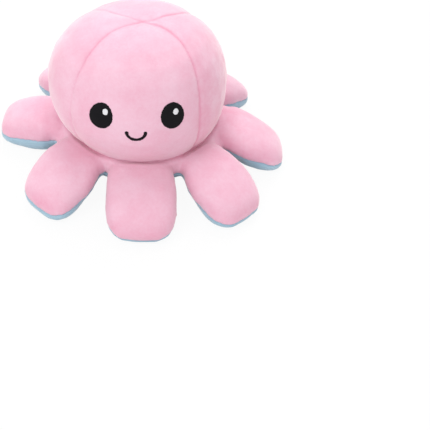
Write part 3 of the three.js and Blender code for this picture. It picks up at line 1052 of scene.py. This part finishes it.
def velour(name, colour, nap_and_shade_colour):
    """Short-pile velour: soft patches where the nap lies differently, fine grain and a pale sheen,
    darkened by painted shade by the seams and, in its mottling, on the right of the head.
    """
    finish = Finish(name)
    split = finish.add("ShaderNodeSeparateXYZ", {"Vector": finish.place})
    # The mottling's mask: partly nap patches, partly painted shade heavier on the right side of the head
    right = finish.ranged(split.outputs["X"], MOTTLE_AND_SHADE_RIGHTWARD)
    above = finish.ranged(split.outputs["Z"], MOTTLE_AND_SHADE_UPWARD)
    share = finish.ranged(finish.maths("MULTIPLY", right, above, clamped=True), MOTTLE_AND_SHADE_SHARE)
    patches = finish.ranged(finish.pattern(MOTTLE_NOISE), MOTTLE_RANGE)
    mottle_and_shade = finish.maths("MULTIPLY", patches, share, clamped=True)
    grain = finish.ranged(finish.pattern(GRAIN_NOISE), GRAIN_RANGE)
    # Painted shade by the seams, read from the skin's attribute
    crease = finish.add("ShaderNodeAttribute", {}, attribute_name="crease").outputs["Fac"]
    nap_and_shade = finish.ranged(finish.pattern(NAP_NOISE), NAP_RANGE)
    for layer in (grain, mottle_and_shade, crease):
        nap_and_shade = finish.maths("ADD", nap_and_shade, layer, clamped=True)
    relief = {**VELOUR_RELIEF, "Height": finish.pattern(PILE_NOISE)}
    finish.dress(colour, nap_and_shade_colour, nap_and_shade, relief, VELOUR_SURFACE)


def satin_thread(name, colour):
    """Glossy twisted embroidery thread, flecked by noise with a brighter copy of its colour, a painted
    gleam.
    """
    finish = Finish(name)
    twist = finish.pattern(TWIST_NOISE)
    gleam = [min(1, channel * THREAD_GLEAM) for channel in colour]
    finish.dress(colour, gleam, twist, {**THREAD_RELIEF, "Height": twist}, THREAD_SURFACE)


def fibre_wadding(name, colour):
    """Loose white fibre."""
    finish = Finish(name)
    tufts = finish.pattern(FIBRE_NOISE)
    shade = [channel * FIBRE_SHADE for channel in colour[:3]] + [1]
    finish.dress(shade, colour, tufts, {**FIBRE_RELIEF, "Height": tufts}, FIBRE_SURFACE)


class OCTOPUS_OT_mix_finishes(bpy.types.Operator):
    """Make the velours, the threads and the fibre"""

    bl_idname = "octopus.mix_finishes"
    bl_label = "Mix the finishes"

    def execute(self, context):
        colours = context.scene.octopus_colours
        velour("pink_velour", tuple(colours.pink), tuple(colours.pink_nap_and_shade))
        velour("blue_velour", tuple(colours.blue), tuple(colours.blue_nap_and_shade))
        satin_thread("black_satin_thread", tuple(colours.black_thread))
        satin_thread("white_satin_thread", tuple(colours.white_thread))
        fibre_wadding("white_fibre", tuple(colours.fibre))
        return {"FINISHED"}


class OCTOPUS_OT_finish_head(bpy.types.Operator):
    """Finish the head's four panels and the band under the neck seam"""

    bl_idname = "octopus.finish_head"
    bl_label = "Finish the head"

    def execute(self, context):
        cloth = context.scene.octopus_sizes.cloth
        for side in SIDES:
            piece = finish_cloth(f"head_{side}", "pink_velour", cloth)
            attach(piece, "head")
            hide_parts(f"head_{side}")
        band = finish_cloth("neck_band", "pink_velour", cloth)
        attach(band, "head")
        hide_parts("neck_band", "neck_shoulder")
        return {"FINISHED"}


class OCTOPUS_OT_finish_lining(bpy.types.Operator):
    """Finish the pocket's four panels and the ring round its mouth"""

    bl_idname = "octopus.finish_lining"
    bl_label = "Finish the lining"

    def execute(self, context):
        cloth = context.scene.octopus_sizes.cloth
        for side in SIDES:
            piece = finish_cloth(f"lining_{side}", "blue_velour", cloth)
            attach(piece, "head")
            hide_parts(f"lining_{side}")
        mouth = finish_cloth("mouth_ring", "blue_velour", cloth)
        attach(mouth, "head")
        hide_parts("mouth_ring")
        return {"FINISHED"}


class OCTOPUS_OT_finish_arms(bpy.types.Operator):
    """Finish the upper and lower cloth of each arm"""

    bl_idname = "octopus.finish_arms"
    bl_label = "Finish the arms"

    def execute(self, context):
        cloth = context.scene.octopus_sizes.cloth
        for arm in ARM_NAMES:
            top = finish_cloth(f"{arm}_top", "pink_velour", cloth)
            blend_along_arm(top)
            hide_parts(f"{arm}_top")
            underside = finish_cloth(f"{arm}_underside", "blue_velour", cloth)
            blend_along_arm(underside)
            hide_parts(f"{arm}_underside")
        return {"FINISHED"}


class OCTOPUS_OT_pack_filling(bpy.types.Operator):
    """Pack the fibre inside the head and the arms"""

    bl_idname = "octopus.pack_filling"
    bl_label = "Pack the filling"

    def execute(self, context):
        fibre = bpy.data.materials["white_fibre"]
        for body in ["head"] + ARM_NAMES:
            wad = copy_node(f"{body}_filling", f"{body}_fibre")
            apply_modifier(wad, "SUBSURF", levels=1, render_levels=1)
            points, facing = points_of(wad.data), normals_of(wad.data)
            sunk = FIBRE_DEPTH + TUFT_DEPTH * noise_at(points, TUFT_SCALE)
            move_points(wad.data, points - facing * sunk[:, None])
            wad.data.shade_smooth()
            wad.data.materials.append(fibre)
            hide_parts(f"{body}_filling")
            if body == "head":
                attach(wad, "head")
            else:
                blend_along_arm(wad)
        return {"FINISHED"}


def oval(half_wide, half_tall):
    """How deep inside an upright oval a place is, and how far across its threads."""
    def depth(aside, up):
        length = np.hypot(aside / half_wide, up / half_tall)
        inside = (1 - length) * min(half_wide, half_tall)
        return inside, up
    return depth


def bowl(half_wide, tall, fullness):
    """The same for a bowl under a straight brow."""
    def depth(aside, up):
        drop = np.clip(tall / 2 - up, 0, None) / tall
        length = (np.abs(aside / half_wide) ** fullness + drop ** fullness) ** (1 / fullness)
        inside = np.minimum((1 - length) * half_wide, tall / 2 - up)
        return inside, up
    return depth


def stroke(half_wide, drop, line):
    """The same for a stroke along half an oval that hangs by its drop, or stands if that is negative."""
    steps = 90
    turns = np.linspace(0, math.pi, steps)
    path = np.stack([-half_wide * np.cos(turns), drop / 2 - drop * np.sin(turns)], axis=1)
    lengths = np.concatenate([[0], np.cumsum(np.linalg.norm(np.diff(path, axis=0), axis=1))])

    def depth(aside, up):
        places = np.stack([aside, up], axis=-1)
        gaps = np.linalg.norm(places[..., None, :] - path, axis=-1)
        return line / 2 - gaps.min(axis=-1), lengths[gaps.argmin(axis=-1)]
    return depth


def tilted(shape, degrees):
    """The same shape turned about its middle."""
    turn = math.radians(degrees)

    def depth(aside, up):
        across = aside * math.cos(turn) + up * math.sin(turn)
        rise = up * math.cos(turn) - aside * math.sin(turn)
        return shape(across, rise)
    return depth


class Canvas:
    """A finished piece of cloth that embroidery is laid on."""

    def __init__(self, piece, outside):
        mesh = piece.data
        self.tree = BVHTree.FromPolygons(
            [point.co for point in mesh.vertices], [face.vertices for face in mesh.polygons])
        self.outside = outside
        self.start = RAY_START if outside else 0

    def place(self, azimuth, height):
        """The place on the cloth in a direction at a height, with the way it faces."""
        away = Vector((math.cos(azimuth), math.sin(azimuth), 0))
        level = Vector((0, 0, height))
        hit = self.tree.ray_cast(level + away * self.start, -away if self.outside else away)
        if hit[0] is None:
            raise RuntimeError("embroidery runs off its cloth")
        facing = hit[1] if (hit[1].dot(away) > 0) == self.outside else -hit[1]
        return hit[0], facing


def embroider(canvas, node, shape, thread, pitch, height, grid, material, lift=0.0):
    """Satin stitches that fill a shape, domed over the cloth, with the thread ends a little ragged."""
    low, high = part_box(node)
    middle = (low + high) / 2
    wall, azimuth = middle.to_2d().length, math.atan2(middle.y, middle.x)
    reach = max((high - low).to_2d().length, high.z - low.z) / 2 + STITCH_MARGIN
    steps = int(2 * reach / grid) + 1
    line = np.linspace(-reach, reach, steps)
    aside, up = np.meshgrid(line, line, indexing="ij")
    inside, row = shape(aside, up)
    threads, own = np.floor(row / pitch), low.x * RAGGED_SCALE
    ragged = np.array([noise.cell(Vector((value, own, RAGGED_SEED))) for value in threads.ravel()])
    inside = inside + (ragged.reshape(inside.shape) - 0.5) * STITCH_RAGGEDNESS * thread
    kept = inside > -0.5 * grid
    swell = np.sqrt(np.clip(inside / STITCH_DOME, 0, 1))
    stripe = 0.5 + 0.5 * np.cos(2 * math.pi * row / pitch)
    rise = lift + height * swell * (1 - STITCH_RIDGE + STITCH_RIDGE * stripe) - STITCH_TUCK * (inside < 0)
    faces_kept = kept[:-1, :-1] & kept[1:, :-1] & kept[1:, 1:] & kept[:-1, 1:]
    used = np.zeros_like(kept)
    for shift in ((0, 0), (1, 0), (1, 1), (0, 1)):
        used[shift[0]:steps - 1 + shift[0], shift[1]:steps - 1 + shift[1]] |= faces_kept
    index = np.full(kept.shape, -1)
    index[used] = np.arange(used.sum())
    places = []
    for across, tall in zip(*np.nonzero(used)):
        spot, facing = canvas.place(azimuth + aside[across, tall] / wall, middle.z + up[across, tall])
        places.append(spot + facing * rise[across, tall])
    faces = []
    for across, tall in zip(*np.nonzero(faces_kept)):
        corners = [index[across, tall], index[across + 1, tall],
                   index[across + 1, tall + 1], index[across, tall + 1]]
        faces.append(corners if canvas.outside else corners[::-1])
    mesh = bpy.data.meshes.new(f"{node}_stitches")
    mesh.from_pydata(places, [], faces)
    piece = bpy.data.objects.new(mesh.name, mesh)
    bpy.context.scene.collection.objects.link(piece)
    apply_modifier(piece, "SOLIDIFY", thickness=STITCH_BASE, offset=-1)
    piece.data.shade_smooth()
    piece.data.materials.append(bpy.data.materials[material])
    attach(piece, "head")
    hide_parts(node)


def embroider_face(canvas, thread, prefix, eyes, glint, glint_lift, mouth, mouth_shape, grids):
    """Embroider both eyes with their glints, and the mouth."""
    coarse, fine = grids
    for side, eye in eyes.items():
        embroider(canvas, f"{prefix}eye_{side}", eye, thread, thread, EYE_RISE, coarse,
                  "black_satin_thread")
        embroider(canvas, f"{prefix}glint_{side}", glint, thread, thread, GLINT_RISE, fine,
                  "white_satin_thread", lift=glint_lift)
    embroider(canvas, mouth, mouth_shape, thread, 2 * thread, MOUTH_RISE, fine,
              "black_satin_thread")


class OCTOPUS_OT_embroider_smiling_face(bpy.types.Operator):
    """Embroider the smiling face on the head's front panel"""

    bl_idname = "octopus.embroider_smiling_face"
    bl_label = "Embroider the smiling face"

    def execute(self, context):
        thread = context.scene.octopus_sizes.thread
        canvas = Canvas(bpy.data.objects["head_front_cloth"], outside=True)
        leans = {"left": FACE_TILT - EYE_LEAN, "right": FACE_TILT + EYE_LEAN}
        eyes = {side: tilted(oval(*EYE_HALVES), lean) for side, lean in leans.items()}
        smile = tilted(stroke(**SMILE), FACE_TILT)
        embroider_face(canvas, thread, "", eyes, oval(*GLINT_HALVES), GLINT_LIFT,
                       "smile", smile, SMILING_FACE_GRIDS)
        return {"FINISHED"}


class OCTOPUS_OT_embroider_cross_face(bpy.types.Operator):
    """Embroider the cross face on the lining's front panel"""

    bl_idname = "octopus.embroider_cross_face"
    bl_label = "Embroider the cross face"

    def execute(self, context):
        thread = context.scene.octopus_sizes.thread
        canvas = Canvas(bpy.data.objects["lining_front_cloth"], outside=False)
        slants = {"left": BROW_SLANT, "right": -BROW_SLANT}
        eyes = {side: tilted(bowl(**CROSS_EYE), slant) for side, slant in slants.items()}
        embroider_face(canvas, thread, "cross_", eyes, oval(*CROSS_GLINT_HALVES), CROSS_GLINT_LIFT,
                       "frown", stroke(**FROWN), CROSS_FACE_GRIDS)
        return {"FINISHED"}


class OCTOPUS_OT_set_stage(bpy.types.Operator):
    """Set up the white floor, the soft lights and the camera"""

    bl_idname = "octopus.set_stage"
    bl_label = "Set the stage"

    def add_floor(self):
        bpy.ops.mesh.primitive_plane_add(size=FLOOR_SIZE, location=(0, 0, 0))
        floor = bpy.context.object
        floor.name = "studio_floor"
        material = bpy.data.materials.new("white_paper")
        tree = NodeTree(material)
        paper = tree.nodes["Principled BSDF"]
        tree.fill(paper, {"Base Color": PAPER_COLOUR, "Roughness": 1, "Specular IOR Level": 0})
        path = tree.add("ShaderNodeLightPath", {})
        seen = path.outputs["Is Camera Ray"]
        for ray in ("Is Glossy Ray", "Is Transmission Ray"):
            seen = tree.maths("MAXIMUM", seen, path.outputs[ray])
        glow = tree.add("ShaderNodeEmission", {}).outputs["Emission"]
        share = tree.maths("MULTIPLY", seen, PAPER_GLOW)
        shown = tree.mix_shaders(share, paper.outputs["BSDF"], glow)
        tree.fill(tree.nodes["Material Output"], {"Surface": shown})
        floor.data.materials.append(material)

    def add_world(self, context):
        world = bpy.data.worlds.new("white_studio")
        context.scene.world = world
        tree = NodeTree(world)
        light = tree.nodes["Background"]
        tree.fill(light, {"Color": WHITE, "Strength": WORLD_STRENGTH})
        backdrop = tree.add("ShaderNodeBackground", {"Color": WHITE})
        seen = tree.add("ShaderNodeLightPath", {}).outputs["Is Camera Ray"]
        shown = tree.mix_shaders(seen, light.outputs["Background"], backdrop.outputs["Background"])
        tree.fill(tree.nodes["World Output"], {"Surface": shown})

    def add_lamp(self, name, place, size, power):
        bpy.ops.object.light_add(type="AREA", location=place)
        lamp = bpy.context.object
        lamp.name = name
        lamp.data.energy = power
        lamp.data.size = size
        aim = AIM - Vector(place)
        lamp.rotation_euler = aim.to_track_quat("-Z", "Y").to_euler()

    def add_camera(self, context):
        bpy.ops.object.camera_add(location=CAMERA_PLACE)
        camera = bpy.context.object
        camera.name = "studio_camera"
        level = (AIM - CAMERA_PLACE).to_track_quat("-Z", "Y").to_matrix().to_4x4()
        roll = Matrix.Rotation(math.radians(CAMERA_ROLL), 4, "Z")
        camera.matrix_world = Matrix.Translation(CAMERA_PLACE) @ level @ roll
        camera.data.sensor_width = CAMERA_SENSOR
        camera.data.lens = CAMERA_LENS
        camera.data.shift_x, camera.data.shift_y = CAMERA_SHIFT
        context.scene.camera = camera

    def execute(self, context):
        context.scene.view_settings.view_transform = "Standard"
        self.add_floor()
        self.add_world(context)
        for lamp in LAMPS:
            self.add_lamp(*lamp)
        self.add_camera(context)
        return {"FINISHED"}


STEPS = (
    OCTOPUS_OT_mix_finishes,
    OCTOPUS_OT_stuff_form,
    OCTOPUS_OT_sew_skin,
    OCTOPUS_OT_finish_head,
    OCTOPUS_OT_finish_lining,
    OCTOPUS_OT_finish_arms,
    OCTOPUS_OT_pack_filling,
    OCTOPUS_OT_embroider_smiling_face,
    OCTOPUS_OT_embroider_cross_face,
    OCTOPUS_OT_set_stage,
)


class OCTOPUS_PT_sidebar(bpy.types.Panel):
    """Lists the steps that make the octopus"""

    bl_label = "Plush octopus"
    bl_space_type = "VIEW_3D"
    bl_region_type = "UI"
    bl_category = "Octopus"

    def draw(self, context):
        for group in (context.scene.octopus_sizes, context.scene.octopus_colours):
            for name in group.__annotations__:
                self.layout.prop(group, name)
        for step in STEPS:
            self.layout.operator(step.bl_idname)


CLASSES = (OctopusSizes, OctopusColours) + STEPS + (OCTOPUS_PT_sidebar,)


def register():
    for kind in CLASSES:
        bpy.utils.register_class(kind)
    bpy.types.Scene.octopus_sizes = PointerProperty(type=OctopusSizes)
    bpy.types.Scene.octopus_colours = PointerProperty(type=OctopusColours)


def unregister():
    del bpy.types.Scene.octopus_colours
    del bpy.types.Scene.octopus_sizes
    for kind in reversed(CLASSES):
        bpy.utils.unregister_class(kind)


def main():
    register()
    bpy.ops.octopus.mix_finishes()
    bpy.ops.octopus.stuff_form()
    bpy.ops.octopus.sew_skin()
    bpy.ops.octopus.finish_head()
    bpy.ops.octopus.finish_lining()
    bpy.ops.octopus.finish_arms()
    bpy.ops.octopus.pack_filling()
    bpy.ops.octopus.embroider_smiling_face()
    bpy.ops.octopus.embroider_cross_face()
    bpy.ops.octopus.set_stage()


if __name__ == "__main__":
    main()
